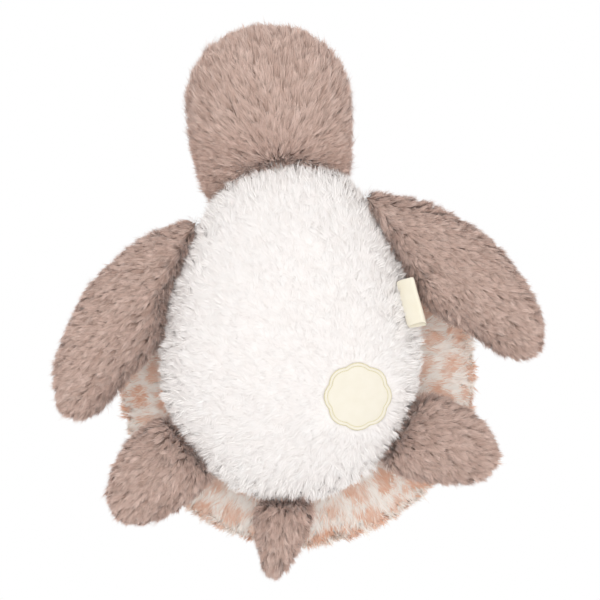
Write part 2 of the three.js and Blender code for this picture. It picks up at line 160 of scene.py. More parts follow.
# The stuffed forms: cloth sewn into closed bags and blown out by their filling.
# Each starts from the outside of its solids, a little small, and is filled by a cloth simulation.
# The body is one bag of three cloths, and the shell, the head and each limb are two sewn round an edge.
limbs = ("flipper_left", "flipper_right", "hind_foot_left", "hind_foot_right", "tail")


def pick(piece):
    deselect()
    piece.select_set(True)
    bpy.context.view_layer.objects.active = piece


def closed_form(name, parts, voxel, sink):
    """One closed bag round its solids, smoothed, and smaller by a sink all round."""
    mesh = bpy.data.meshes.new(name)
    bm = bmesh.new()
    for part in parts:
        bm.from_mesh(frame["nodes"][part].data)
    bmesh.ops.remove_doubles(bm, verts=bm.verts, dist=1e-5)
    bm.to_mesh(mesh)
    bm.free()
    mesh.materials.clear()
    form = bpy.data.objects.new(name, mesh)
    scene.collection.objects.link(form)
    pick(form)
    mesh.remesh_voxel_size = voxel
    bpy.ops.object.voxel_remesh()
    bpy.ops.object.mode_set(mode="EDIT")
    bpy.ops.mesh.select_all(action="SELECT")
    bpy.ops.mesh.vertices_smooth(factor=0.5, repeat=3)
    bpy.ops.transform.shrink_fatten(value=-sink)
    bpy.ops.object.mode_set(mode="OBJECT")
    return form


def corners_of(piece):
    places = np.empty(len(piece.data.vertices) * 3)
    piece.data.vertices.foreach_get("co", places)
    return places.reshape(-1, 3)


def move_corners(piece, places):
    piece.data.vertices.foreach_set("co", places.ravel())
    piece.data.update()


def fill_out(forms, furthest):
    """Blows the bags out together, keeps each point near where it was sewn, and rounds the cloth."""
    last_frame = 20
    sewn = {form.name: corners_of(form) for form in forms}
    for form in forms:
        pick(form)
        bpy.ops.object.modifier_add(type="CLOTH")
        cloth = form.modifiers[-1]
        cloth.settings.quality = 4
        cloth.settings.mass = 0.3
        cloth.settings.tension_stiffness = 8
        cloth.settings.compression_stiffness = 8
        cloth.settings.bending_stiffness = 0.8
        cloth.settings.use_pressure = True
        cloth.settings.uniform_pressure_force = 4
        cloth.settings.effector_weights.gravity = 0
        cloth.collision_settings.use_collision = False
        cloth.point_cache.frame_start = 1
        cloth.point_cache.frame_end = last_frame
    for step in range(1, last_frame + 1):
        scene.frame_set(step)
    for form in forms:
        pick(form)
        bpy.ops.object.modifier_apply(modifier=form.modifiers[-1].name)
    scene.frame_set(1)
    for form in forms:
        was = sewn[form.name]
        moved = corners_of(form) - was
        far = np.linalg.norm(moved, axis=1, keepdims=True)
        move_corners(form, was + moved * np.minimum(1, furthest / np.maximum(far, 1e-9)))
        pick(form)
        bpy.ops.object.modifier_add(type="SUBSURF")
        form.modifiers[-1].levels = 1
        form.modifiers[-1].render_levels = 1
        bpy.ops.object.modifier_apply(modifier=form.modifiers[-1].name)
        bpy.ops.object.shade_smooth()


body_cloth = closed_form(
    "body_cloth", ("belly_panel", "side_band", "back_panel", "body_stuffing"), voxel=0.005, sink=0.002)
shell_cloth = closed_form(
    "shell_cloth", ("shell_top_panel", "shell_under_panel", "shell_stuffing"), voxel=0.005, sink=0.002)
head_cloth = closed_form(
    "head_cloth", ("head_top_panel", "head_under_panel", "head_stuffing"), voxel=0.004, sink=0.0015)
limb_cloths = [
    closed_form(f"{limb}_cloth", (f"{limb}_top_panel", f"{limb}_under_panel", f"{limb}_stuffing"),
                voxel=0.003, sink=0.0012)
    for limb in limbs
]
fill_out([body_cloth, shell_cloth, head_cloth, *limb_cloths], furthest=0.002)


def draw_in(form, seam, depth=0.0015, width=0.0022):
    """A level seam pulls the filled cloth in along its thread."""
    shape = corners_of(form)
    normals = np.empty(shape.size)
    form.data.vertices.foreach_get("normal", normals)
    pull = depth * np.exp(-((shape[:, 2:] - seam) / width) ** 2)
    move_corners(form, shape - normals.reshape(-1, 3) * pull)


belly_seam = 0.031
back_seam = 0.044
shell_middle = np.array([0.0045, 0.021, 0.063])
draw_in(body_cloth, belly_seam)
draw_in(body_cloth, back_seam)
draw_in(shell_cloth, shell_middle[2])
pile_under_belly = 0.0022
pressed = corners_of(body_cloth)
pressed[:, 2] = np.maximum(pressed[:, 2], pile_under_belly)
move_corners(body_cloth, pressed)

# The plush itself: a fine knitted backing cloth, and the pile that stands on it in small tufts.
# The backing shows only where the pile parts. It is dyed near the pile's colour, and each strand
# has its own shade. Three effects are shared: the knit, a mottling of the colour, and a strand's dye.


def new_group(name, inputs, outputs):
    """An empty shader node group, with its input and output nodes."""
    group = bpy.data.node_groups.new(name, "ShaderNodeTree")
    for in_out, sockets in (("INPUT", inputs), ("OUTPUT", outputs)):
        for socket, kind in sockets.items():
            group.interface.new_socket(socket, in_out=in_out, socket_type=f"NodeSocket{kind}")
    return group, group.nodes.new("NodeGroupInput"), group.nodes.new("NodeGroupOutput")


def knit_group():
    """Knitted cloth: rows of small loops, as a height."""
    group, inside, outside = new_group("knit", {"Loop Size": "Float"}, {"Height": "Float"})
    nodes = group.nodes
    links = group.links
    where = nodes.new("ShaderNodeTexCoord")
    closeness = nodes.new("ShaderNodeMath")
    closeness.operation = "DIVIDE"
    closeness.inputs[0].default_value = 1
    links.new(inside.outputs["Loop Size"], closeness.inputs[1])
    loops = nodes.new("ShaderNodeTexVoronoi")
    loops.feature = "SMOOTH_F1"
    links.new(where.outputs["Object"], loops.inputs["Vector"])
    links.new(closeness.outputs[0], loops.inputs["Scale"])
    links.new(loops.outputs["Distance"], outside.inputs["Height"])
    return group


def mottle_group():
    """Mottling: a colour that wanders between a dark and a light one, and the mask that it follows."""
    group, inside, outside = new_group(
        "mottle",
        {"Scale": "Float", "Detail": "Float", "Distortion": "Float", "Dark": "Color", "Light": "Color"},
        {"Color": "Color", "Mask": "Float"})
    nodes = group.nodes
    links = group.links
    where = nodes.new("ShaderNodeTexCoord")
    spots = nodes.new("ShaderNodeTexNoise")
    links.new(where.outputs["Object"], spots.inputs["Vector"])
    for socket in ("Scale", "Detail", "Distortion"):
        links.new(inside.outputs[socket], spots.inputs[socket])
    tone = nodes.new("ShaderNodeMix")
    tone.data_type = "RGBA"
    links.new(spots.outputs["Fac"], tone.inputs["Factor"])
    links.new(inside.outputs["Dark"], tone.inputs["A"])
    links.new(inside.outputs["Light"], tone.inputs["B"])
    links.new(tone.outputs["Result"], outside.inputs["Color"])
    links.new(spots.outputs["Fac"], outside.inputs["Mask"])
    return group


def strand_group():
    """A dyed strand: from its root's colour to its own shade between a dark and a light one. A root colour
    darker than the strand is painted shade deep in the pile.
    """
    group, inside, outside = new_group(
        "dyed_strand", {"Root": "Color", "Dark": "Color", "Light": "Color"}, {"Color": "Color"})
    nodes = group.nodes
    links = group.links
    strand = nodes.new("ShaderNodeAttribute")
    strand.attribute_name = "strand"
    parts = nodes.new("ShaderNodeSeparateXYZ")
    links.new(strand.outputs["Vector"], parts.inputs[0])
    tone = nodes.new("ShaderNodeMix")
    tone.data_type = "RGBA"
    links.new(parts.outputs["Y"], tone.inputs["Factor"])
    links.new(inside.outputs["Dark"], tone.inputs["A"])
    links.new(inside.outputs["Light"], tone.inputs["B"])
    rise = nodes.new("ShaderNodeMapRange")
    rise.inputs["From Min"].default_value = 0.05
    rise.inputs["From Max"].default_value = 0.7
    links.new(parts.outputs["X"], rise.inputs["Value"])
    along = nodes.new("ShaderNodeMix")
    along.data_type = "RGBA"
    links.new(rise.outputs[0], along.inputs["Factor"])
    links.new(inside.outputs["Root"], along.inputs["A"])
    links.new(tone.outputs["Result"], along.inputs["B"])
    links.new(along.outputs["Result"], outside.inputs["Color"])
    return group


knit = knit_group()
mottle = mottle_group()
dyed_strand = strand_group()


def place_group(material, group, **values):
    """Places a group in a material and sets its inputs; an underscore stands for a space."""
    node = material.node_tree.nodes.new("ShaderNodeGroup")
    node.node_tree = group
    for socket, value in values.items():
        node.inputs[socket.replace("_", " ")].default_value = value
    return node


def finish(name, group, shader, **values):
    """A material coloured by a group, with the shader's own sockets set plainly."""
    material = bpy.data.materials.new(name)
    material.use_nodes = True
    skin = material.node_tree.nodes["Principled BSDF"]
    for socket, value in shader.items():
        skin.inputs[socket].default_value = value
    colour = place_group(material, group, **values)
    material.node_tree.links.new(colour.outputs["Color"], skin.inputs["Base Color"])
    return material, colour


def emboss(material, height, strength, distance):
    """Raises a material's surface by a height."""
    nodes = material.node_tree.nodes
    links = material.node_tree.links
    bump = nodes.new("ShaderNodeBump")
    bump.inputs["Strength"].default_value = strength
    bump.inputs["Distance"].default_value = distance
    links.new(height, bump.inputs["Height"])
    links.new(bump.outputs["Normal"], nodes["Principled BSDF"].inputs["Normal"])


def backing(name, dark, light):
    """A knitted backing cloth between two colours."""
    cloth, _ = finish(name, mottle, {"Roughness": 1, "Specular IOR Level": 0.2, "Sheen Weight": 0.3},
                      Scale=60, Detail=5, Dark=dye(*dark), Light=dye(*light))
    loops = place_group(cloth, knit, Loop_Size=0.0012)
    emboss(cloth, loops.outputs["Height"], strength=0.5, distance=0.0006)
    return cloth


def pile_dye(name, roots, dark, light):
    """Dyed pile: each strand has its own shade between dark and light, and another colour at its root; where
    that root colour is darker, it is painted shade deep in the pile, between the tufts.
    """
    plush, _ = finish(
        name, dyed_strand,
        {"Roughness": 0.75, "Specular IOR Level": 0.25, "Sheen Weight": 0.35, "Sheen Roughness": 0.5},
        Root=dye(*roots), Dark=dye(*dark), Light=dye(*light))
    return plush


def lattice(piece):
    """The piece's surface for finding the nearest point on it."""
    return BVHTree.FromPolygons(
        [v.co for v in piece.data.vertices], [f.vertices for f in piece.data.polygons], epsilon=1e-6)


surfaces = {piece.name: lattice(piece) for piece in (body_cloth, shell_cloth, head_cloth, *limb_cloths)}


def unit(rows):
    return rows / np.maximum(np.linalg.norm(rows, axis=1, keepdims=True), 1e-9)


def grow_pile(name, cloth, strands, length, breadth, lean, lay, seed, *, grows=None, clump=0.002,
              pull=0.7, wander=0.3, rounding=0.7, fluff=0, fringe=0, raised=None, trimmed=None,
              clear_of=(), shades=None, floor=None):
    """Pile on a cloth: fine pointed strands, laid over the way lay points, in small tufts.

    It lies at lean to the cloth. Where the cloth stands upright, fluff lifts it further from the cloth
    and fringe makes it longer. Tufts are clump apart, pull draws each strand to its tuft, wander turns
    it, and rounding shades it. It grows where grows says, at least a little clear of the cloths named in
    clear_of, is raised and trimmed by place, takes its shades from a pattern, and never goes below floor.
    """
    knee = 0.45
    root_depth = 0.0003
    stray_share = 0.06
    search = 0.012
    closest = 0.0012
    # The roots are spread evenly over the cloth, and the ones too near another cloth are taken out.
    dice = np.random.default_rng(seed)
    mesh = cloth.data
    mesh.calc_loop_triangles()
    places = corners_of(cloth)
    normals = np.empty(len(mesh.vertices) * 3)
    mesh.vertices.foreach_get("normal", normals)
    normals = normals.reshape(-1, 3)
    faces = np.empty(len(mesh.loop_triangles) * 3, int)
    mesh.loop_triangles.foreach_get("vertices", faces)
    faces = faces.reshape(-1, 3)
    ones, twos, threes = (places[faces[:, k]] for k in range(3))
    areas = np.linalg.norm(np.cross(twos - ones, threes - ones), axis=1) / 2
    if grows is not None:
        areas = areas * grows((ones + twos + threes) / 3, normals[faces].mean(axis=1))
    chosen = dice.choice(len(faces), strands, p=areas / areas.sum())
    first = np.sqrt(dice.random(strands))
    second = dice.random(strands)
    weights = np.stack([1 - first, first * (1 - second), first * second], axis=1)[:, :, None]
    roots = (places[faces[chosen]] * weights).sum(axis=1)
    ups = unit((normals[faces[chosen]] * weights).sum(axis=1))
    keep = np.ones(strands, bool)
    for other in clear_of:
        near = surfaces[other]
        for place, root in enumerate(roots):
            if keep[place]:
                spot, out, _, _ = near.find_nearest(root, search)
                if spot is not None and (Vector(root) - spot).dot(out) < closest:
                    keep[place] = False
    roots, ups = roots[keep], ups[keep]
    strands = len(roots)

    # Each strand joins its nearest leader's tuft, and mostly shares its turn, reach and shade.
    tufts = min(int(areas.sum() / clump ** 2) + 1, strands)
    leaders = dice.choice(strands, tufts, replace=False)
    tree = KDTree(tufts)
    for place, leader in enumerate(leaders):
        tree.insert(roots[leader], place)
    tree.balance()
    tuft = np.array([tree.find(root)[1] for root in roots])
    turn = dice.normal(0, wander, tufts)[tuft] + dice.normal(0, wander * 0.3, strands)
    reach = (1 + dice.normal(0, 0.15, tufts))[tuft] * (1 + dice.normal(0, 0.12, strands))
    shade = np.clip(0.5 + dice.normal(0, 0.2, tufts)[tuft] + dice.normal(0, 0.12, strands), 0, 1)
    if shades is not None:
        shade = shades(roots, shade, dice)

    # A strand leaves its root steeply, bends over the way it is laid, and leans to its tuft's middle.
    flow = lay(roots)
    flow = unit(flow - ups * (flow * ups).sum(axis=1, keepdims=True))
    across = np.cross(ups, flow)
    flow, across = (flow * np.cos(turn)[:, None] + across * np.sin(turn)[:, None],
                    across * np.cos(turn)[:, None] - flow * np.sin(turn)[:, None])
    gather = roots[leaders][tuft] - roots
    gather -= ups * (gather * ups).sum(axis=1, keepdims=True)
    upright = 1 - ups[:, 2] ** 2
    long = (length * reach * (1 + fringe * upright) * (trimmed(roots) if trimmed else 1))[:, None]
    stray = dice.random(strands) < stray_share
    fluffed = lean * (1 + fluff * upright + (raised(roots) if raised else 0))
    tilt = (fluffed * (1 + dice.normal(0, 0.3, tufts)[tuft] + dice.normal(0, 0.15, strands) + stray))[:, None]
    stands = np.sin(tilt) ** 2
    twist = dice.uniform(-0.2, 0.2, strands)[:, None] + dice.uniform(-1, 1, strands)[:, None] * stands
    edge = (across * np.cos(twist) + ups * np.sin(twist)) * breadth / 2

    def spine(share):
        up = np.sin(tilt) * share * (1 - 0.38 * share)
        over = np.cos(tilt) * share ** 1.25
        return roots - ups * root_depth + long * (ups * up + flow * over) + gather * pull * share ** 1.3

    points = np.stack([spine(0), spine(knee) - edge, spine(knee) + edge, spine(1)], axis=1)
    if floor is not None:
        points[:, :, 2] = np.maximum(points[:, :, 2], floor)
    corners = (np.arange(strands)[:, None] * 4 + (0, 1, 2, 2, 1, 3)).ravel()
    pile = bpy.data.meshes.new(name)
    pile.vertices.add(strands * 4)
    pile.vertices.foreach_set("co", points.ravel())
    pile.loops.add(len(corners))
    pile.loops.foreach_set("vertex_index", corners)
    pile.polygons.add(strands * 2)
    pile.polygons.foreach_set("loop_start", np.arange(strands * 2) * 3)
    pile.polygons.foreach_set("loop_total", np.full(strands * 2, 3))
    pile.update(calc_edges=True)
    strand = pile.attributes.new("strand", "FLOAT_VECTOR", "POINT")
    along = np.tile((0, knee, knee, 1), strands)
    strand.data.foreach_set("vector", np.stack(
        [along, np.repeat(shade, 4), np.zeros(len(along))], axis=1).ravel())
    grid = math.ceil(math.sqrt(strands))
    cell = np.stack([np.arange(strands) % grid, np.arange(strands) // grid], axis=1)[:, None, :]
    inner = np.array([(0.5, 0.1), (0.2, 0.5), (0.8, 0.5), (0.5, 0.9)])
    uv = ((cell + inner) / grid).reshape(-1, 2)[corners]
    pile.uv_layers.new(name="OFBake").data.foreach_set("uv", uv.ravel())
    pile.polygons.foreach_set("use_smooth", np.ones(strands * 2, bool))
    # A flat strand is shaded like the cloth under it. One that stands, or grows where the cloth is
    # upright, is shaded by its own face.
    own = unit(np.cross(spine(knee) - spine(0), edge))
    facing = np.maximum(stands, 0.9 * upright[:, None] ** 2)
    rounded = unit(unit(ups * (1 - facing) + own * facing) + flow * 0.15 - gather / clump * rounding)
    pile.normals_split_custom_set_from_vertices(np.repeat(rounded, 4, axis=0))
    piece = bpy.data.objects.new(name, pile)
    scene.collection.objects.link(piece)
    return piece


# The body: a short white plush on the belly, pressed flat where the toy lies on it, a brown one
# round the side, and a plain brown knit on the back, where the shell sits.
# The three cloths are sewn together along two level seams, which the pile hides.
brown_backing = backing("brown_backing", (132, 110, 99), (158, 135, 123))
white_backing = backing("white_backing", (248, 242, 239), (252, 248, 245))
# The brown pile's roots are dyed darker than its strands: painted shade down in the pile, between its tufts.
brown_pile = pile_dye("brown_pile", (150, 120, 106), (200, 170, 156), (238, 213, 201))
white_pile = pile_dye("white_pile", (253, 248, 245), (253, 248, 245), (255, 252, 250))

back_knit = backing("back_knit", (128, 105, 94), (150, 126, 114))


def cut_panel(name, form, cloth, low, high):
    """One cloth panel of a filled form, between two seams."""
    panel = bpy.data.objects.new(name, form.data.copy())
    scene.collection.objects.link(panel)
    bm = bmesh.new()
    bm.from_mesh(panel.data)
    for height, side in ((low, "clear_inner"), (high, "clear_outer")):
        bmesh.ops.bisect_plane(bm, geom=[*bm.verts, *bm.edges, *bm.faces], plane_co=(0, 0, height),
                               plane_no=(0, 0, 1), **{side: True})
    bm.to_mesh(panel.data)
    bm.free()
    panel.data.materials.append(cloth)
    return panel


for name, node, cloth, slot, low, high in (
    ("belly_cloth", "belly_panel", white_backing, "white_plush", -1, belly_seam),
    ("side_cloth", "side_band", brown_backing, "brown_plush", belly_seam, back_seam),
    ("back_cloth", "back_panel", back_knit, "brown_cloth", back_seam, 1),
):
    panel = cut_panel(name, body_cloth, cloth, low, high)
    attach(panel, "body")
    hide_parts(node)


patch_middle = np.array([0.043, 0.032])
patch_radius = 0.0215


def belly_lay(places):
    return np.stack([*(places[:, :2] - patch_middle).T * 8, 0.3 * (places[:, 2] > 0.012)], axis=1)


def on_belly(centres, ups):
    bare = np.linalg.norm(centres[:, :2] - patch_middle, axis=1) < patch_radius - 0.001
    return ((centres[:, 2] < belly_seam + 0.0005) & ~(bare & (centres[:, 2] < 0.02))).astype(float)


belly_pile = grow_pile("belly_pile", body_cloth, 95000, 0.0065, 0.0006, 0.22, belly_lay, 11,
                       grows=on_belly, clump=0.003, pull=0.15, wander=0.5, rounding=0.08, fluff=3.2,
                       fringe=0.8, floor=0.0004)
belly_pile.data.materials.append(white_pile)
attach(belly_pile, "body")


def side_lay(places):
    return np.stack([places[:, 0] * 4, places[:, 1] * 4 + 0.3, np.full(len(places), 0.8)], axis=1)


def on_side(centres, ups):
    return ((centres[:, 2] > belly_seam) & (centres[:, 2] < back_seam)).astype(float)


side_pile = grow_pile("side_pile", body_cloth, 50000, 0.0075, 0.0005, 0.4, side_lay, 12,
                      grows=on_side, fluff=1.2, fringe=0.6, clear_of=("shell_cloth",))
side_pile.data.materials.append(brown_pile)
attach(side_pile, "body")

# The shell: a round cushion of short mottled fur, sewn to the back.
# Tan blotches lie between pale lines all over it, and its two panels are sewn together round its rim.
shell_backing = backing("shell_backing", (248, 228, 214), (253, 242, 232))
mottled_pile = pile_dye("mottled_pile", (255, 242, 232), (234, 183, 153), (255, 249, 242))
shell_cloth.data.materials.append(shell_backing)
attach(shell_cloth, "body")
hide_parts("shell_top_panel", "shell_under_panel")


def shell_lay(places):
    away = places - shell_middle
    rim = np.clip(np.hypot(away[:, 0], away[:, 1]) / 0.115, 0, 1) ** 4
    above = away[:, 2] > 0
    sideways = away[:, 0] * np.where(above, 6 + 26 * rim, 10)
    backwards = np.where(above, 1, away[:, 1] * 10)
    return np.stack([sideways, backwards, np.where(above, -0.3 * rim, 0.04)], axis=1)


def blotches(places, shade, dice):
    """Tan blotches with pale lines between them, dyed on the cloth before the two panels are cut.

    A place on the domed top is found by its way along the cloth, so the blotches keep their size there.
    """
    radius, rise = 0.118, 0.053
    away = places - shell_middle
    flat = np.hypot(away[:, 0], away[:, 1])
    steps = np.linspace(0, math.pi / 2, 91)
    profile = np.stack([radius * np.sin(steps), rise * np.cos(steps)], axis=1)
    arcs = np.concatenate([[0], np.cumsum(np.linalg.norm(np.diff(profile, axis=0), axis=1))])
    stretch = np.interp(np.arctan2(flat / radius, away[:, 2] / rise), steps, arcs) / np.maximum(flat, 1e-6)
    spots = away[:, :2] * np.where(away[:, 2] > 0, stretch, 1)[:, None] + (0.007, 0.004)
    spots += 0.0016 * np.sin(spots[:, ::-1] * 230) + dice.normal(0, 0.0009, spots.shape)
    fixed = np.random.default_rng(77)
    pitch = 0.0205
    pale_line, soft_edge = 0.0025, 0.006
    pale = 1.1
    centres = []
    for row in range(-9, 10):
        for column in range(-9, 10):
            place = np.array([column + 0.5 * (row % 2), row * 0.87]) * pitch
            centres.append(place + fixed.normal(0, 0.0026, 2))
    tones = fixed.uniform(0.0, 0.3, len(centres))
    tree = KDTree(len(centres))
    for place, centre in enumerate(centres):
        tree.insert((*centre, 0), place)
    tree.balance()
    result = np.empty(len(places))
    for place, spot in enumerate(spots):
        (_, one, near), (_, _, far) = tree.find_n((*spot, 0), 2)
        edge = min(max((far - near - pale_line) / soft_edge, 0), 1)
        result[place] = pale * (1 - edge) + tones[one] * edge
    return np.clip(result + (shade - 0.5) * 0.4, 0, 1)


def shell_above(centres, ups):
    return (centres[:, 2] > shell_middle[2]).astype(float)


def shell_below(centres, ups):
    return (centres[:, 2] <= shell_middle[2]).astype(float)


shell_top_pile = grow_pile("shell_top_pile", shell_cloth, 99000, 0.0095, 0.0007, 0.4, shell_lay, 21,
                           grows=shell_above, clump=0.0028, pull=0.4, wander=0.4, rounding=0.35, fluff=1.6,
                           fringe=0.2, shades=blotches)
shell_under_pile = grow_pile("shell_under_pile", shell_cloth, 95000, 0.0095, 0.0007, 0.17, shell_lay, 22,
                             grows=shell_below, clump=0.0028, pull=0.25, wander=0.35, rounding=0.05,
                             fluff=2.5, fringe=0.2, shades=blotches, clear_of=("body_cloth",))
for pile in (shell_top_pile, shell_under_pile):
    pile.data.materials.append(mottled_pile)
    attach(pile, "body")

# The head: a stuffed ball of brown long-pile plush that tapers to the neck, sewn to the chest.
# Its pile is brushed back over the top, and below it fans out from the neck to the nose and the cheeks.
head_cloth.data.materials.append(brown_backing)
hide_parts("head_top_panel", "head_under_panel")


def mesh_corners(node):
    return np.array([corner.co for corner in frame["nodes"][node].data.vertices])


dome_height = 0.0034
eye_axes = {}
eye_seats = {}
for side in ("left", "right"):
    washer = mesh_corners(f"eye_washer_{side}").mean(axis=0)
    eye = mesh_corners(f"eye_{side}")
    top = eye[np.argmax(np.linalg.norm(eye - washer, axis=1))]
    eye_axes[side] = (top - washer) / np.linalg.norm(top - washer)
    eye_seats[side] = top - eye_axes[side] * dome_height


def lay_below(places):
    return np.stack([places[:, 0] + 0.006, places[:, 1] + 0.108, np.zeros(len(places))], axis=1)


def lay_above(places):
    return np.stack([places[:, 0] * 4, np.ones(len(places)), np.zeros(len(places))], axis=1)


def raised_at_neck(roots):
    return 1.3 * np.clip((roots[:, 1] + 0.138) / 0.02, 0, 1)


def head_below(centres, ups):
    return (ups[:, 2] < 0.1) * (1 + 2 * np.clip((centres[:, 1] + 0.14) / 0.02, 0, 1))


def trimmed_round_eyes(roots):
    """The share of its length that the pile keeps: less in front of the eyes, to leave them open."""
    away = [np.linalg.norm(roots - seat - (0, -0.004, 0), axis=1) for seat in eye_seats.values()]
    return np.clip((np.minimum(*away) - 0.003) / 0.012, 0.3, 1)


def head_above(centres, ups):
    bare_radius = 0.0062
    open_eyes = np.ones(len(centres), bool)
    for seat in eye_seats.values():
        open_eyes &= np.linalg.norm(centres - seat, axis=1) > bare_radius
    return ((ups[:, 2] >= 0.1) & open_eyes).astype(float)


head_under_pile = grow_pile("head_under_pile", head_cloth, 99000, 0.0105, 0.0005, 0.38, lay_below, 31,
                            grows=head_below, clump=0.0024, pull=0.4, wander=0.25, rounding=0.3, fluff=0.6,
                            fringe=0.1, raised=raised_at_neck, clear_of=("body_cloth",))
head_top_pile = grow_pile("head_top_pile", head_cloth, 99000, 0.0105, 0.0005, 0.38, lay_above, 32,
                          grows=head_above, clump=0.0024, pull=0.4, wander=0.25, rounding=0.3, fluff=0.6,
                          fringe=0.1, trimmed=trimmed_round_eyes, clear_of=("body_cloth", "shell_cloth"))
for pile in (head_under_pile, head_top_pile):
    pile.data.materials.append(brown_pile)
for piece in (head_cloth, head_under_pile, head_top_pile):
    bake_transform(piece)

# The flippers, feet and tail: each two panels of the brown plush sewn round their edge and stuffed.
# The pile is brushed from the root to the tip and fans out towards the edge.
fan_from = {
    "flipper_left": (-0.050, -0.120),
    "flipper_right": (0.060, -0.100),
    "hind_foot_left": (0.030, 0.040),
    "hind_foot_right": (-0.035, 0.030),
    "tail": (-0.002, 0.060),
}
counts = {"flipper_left": 90000, "flipper_right": 90000, "hind_foot_left": 50000, "hind_foot_right": 50000,
          "tail": 28000}
for seed, (limb, cloth) in enumerate(zip(limbs, limb_cloths)):
    cloth.data.materials.append(brown_backing)
    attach(cloth, limb)
    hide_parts(f"{limb}_top_panel", f"{limb}_under_panel")
    source = np.array([*fan_from[limb], 0.03])

    def limb_lay(places, source=source):
        out = places - source
        out[:, 2] = 0
        return out

    pile = grow_pile(f"{limb}_pile", cloth, counts[limb], 0.009, 0.00045, 0.45, limb_lay, 41 + seed,
                     fluff=1, clear_of=("body_cloth",))
    pile.data.materials.append(brown_pile)
    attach(pile, limb)

# The filling: polyester fibre, pushed into each bag in loose handfuls, so that it is lumpy all over.
# It fills its bag and is closed in by it.
fibre, tangle = finish("polyester_fibre", mottle, {"Roughness": 1, "Sheen Weight": 0.4},
                       Scale=350, Detail=8, Distortion=2, Dark=dye(226, 226, 222), Light=dye(250, 250, 247))
emboss(fibre, tangle.outputs["Mask"], strength=0.8, distance=0.001)
lumps = bpy.data.textures.new("handfuls", "CLOUDS")
lumps.noise_scale = 0.02
for bag, body in (("body", "body"), ("shell", "body"), ("head", "head"), *((limb, limb) for limb in limbs)):
    filling = closed_form(f"{bag}_filling", (f"{bag}_stuffing",), 0.005, 0.0012)
    pick(filling)
    bpy.ops.object.modifier_add(type="DISPLACE")
    filling.modifiers[-1].texture = lumps
    filling.modifiers[-1].strength = 0.0012
    filling.modifiers[-1].texture_coords = "LOCAL"
    bpy.ops.object.modifier_apply(modifier=filling.modifiers[-1].name)
    bpy.ops.object.shade_smooth()
    filling.data.materials.append(fibre)
    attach(filling, body)
    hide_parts(f"{bag}_stuffing")

# The eyes: glossy dark plastic domes, each moulded in one piece with its shank.
# The shank goes through the cloth, and a washer is pressed on behind. The pile is trimmed round the dome.
dark_gloss, smudges = finish("dark_moulded_plastic", mottle, {"Coat Weight": 0.6},
                             Scale=500, Detail=2, Dark=dye(20, 13, 10), Light=dye(38, 26, 20))
gloss = dark_gloss.node_tree.nodes.new("ShaderNodeMapRange")
gloss.inputs["To Min"].default_value = 0.05
gloss.inputs["To Max"].default_value = 0.16
dark_gloss.node_tree.links.new(smudges.outputs["Mask"], gloss.inputs["Value"])
dark_gloss.node_tree.links.new(
    gloss.outputs[0], dark_gloss.node_tree.nodes["Principled BSDF"].inputs["Roughness"])
milky, _ = finish("milky_moulded_plastic", mottle, {"Roughness": 0.4},
                  Scale=300, Detail=2, Dark=dye(222, 222, 216), Light=dye(238, 238, 233))
dome_radius = 0.0045
dome_back = 0.0009
shank_radius = 0.0015
shank_length = 0.009
for side in ("left", "right"):
    deselect()
    bpy.ops.mesh.primitive_uv_sphere_add(segments=48, ring_count=24, radius=dome_radius)
    eye = bpy.context.object
    eye.name = f"eye_dome_{side}"
    shape = corners_of(eye)
    shape[:, 2] *= np.where(shape[:, 2] > 0, dome_height, dome_back) / dome_radius
    move_corners(eye, shape)
    bpy.ops.object.mode_set(mode="EDIT")
    bpy.ops.mesh.select_all(action="DESELECT")
    bm = bmesh.from_edit_mesh(eye.data)
    for face in bm.faces:
        spot = face.calc_center_median()
        if spot.z < 0 and spot.xy.length < shank_radius:
            face.select = True
    bm.select_flush_mode()
    bmesh.update_edit_mesh(eye.data)
    bpy.ops.mesh.extrude_region_move(TRANSFORM_OT_translate={"value": (0, 0, -shank_length)})
    bpy.ops.mesh.normals_make_consistent(inside=False)
    bpy.ops.object.mode_set(mode="OBJECT")
    turn = Vector((0, 0, 1)).rotation_difference(Vector(eye_axes[side])).to_matrix()
    move_corners(eye, corners_of(eye) @ np.array(turn).T + eye_seats[side])
    bpy.ops.object.shade_smooth()
    eye.data.materials.append(dark_gloss)
    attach(eye, "head")
    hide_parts(f"eye_{side}")
    washer = frame["nodes"][f"eye_washer_{side}"]
    washer.data.materials.clear()
    washer.data.materials.append(milky)

# The patch: a small eight-lobed piece of cream woven cloth, sewn flat to the belly.
# A raised rim runs round it, held by a row of pale yellow stitches outside and a row inside.
belly_under = lattice(body_cloth)


def patch_level(x, y):
    """How high the patch lies over the table at a place: just outside the belly's cloth."""
    belly = belly_under.ray_cast(Vector((x, y, -0.05)), Vector((0, 0, 1)))[0].z
    return max(belly - 0.0009, 0.001)


def lobed_spot(angle, radius):
    """A place on the lobed outline with that radius, from the patch's middle."""
    lobe_depth = 0.0016
    reach = radius - lobe_depth * (1 - abs(math.cos(4 * angle))) * radius / patch_radius
    return np.array([reach * math.cos(angle), reach * math.sin(angle)])


deselect()
bpy.ops.mesh.primitive_circle_add(vertices=192, radius=patch_radius, fill_type="NGON")
patch = bpy.context.object
patch.name = "patch_cloth"
shape = corners_of(patch)
for place, (x, y, _) in enumerate(shape):
    shape[place, :2] = lobed_spot(math.atan2(y, x), patch_radius)
move_corners(patch, shape)
bpy.ops.object.mode_set(mode="EDIT")
bpy.ops.mesh.select_all(action="SELECT")
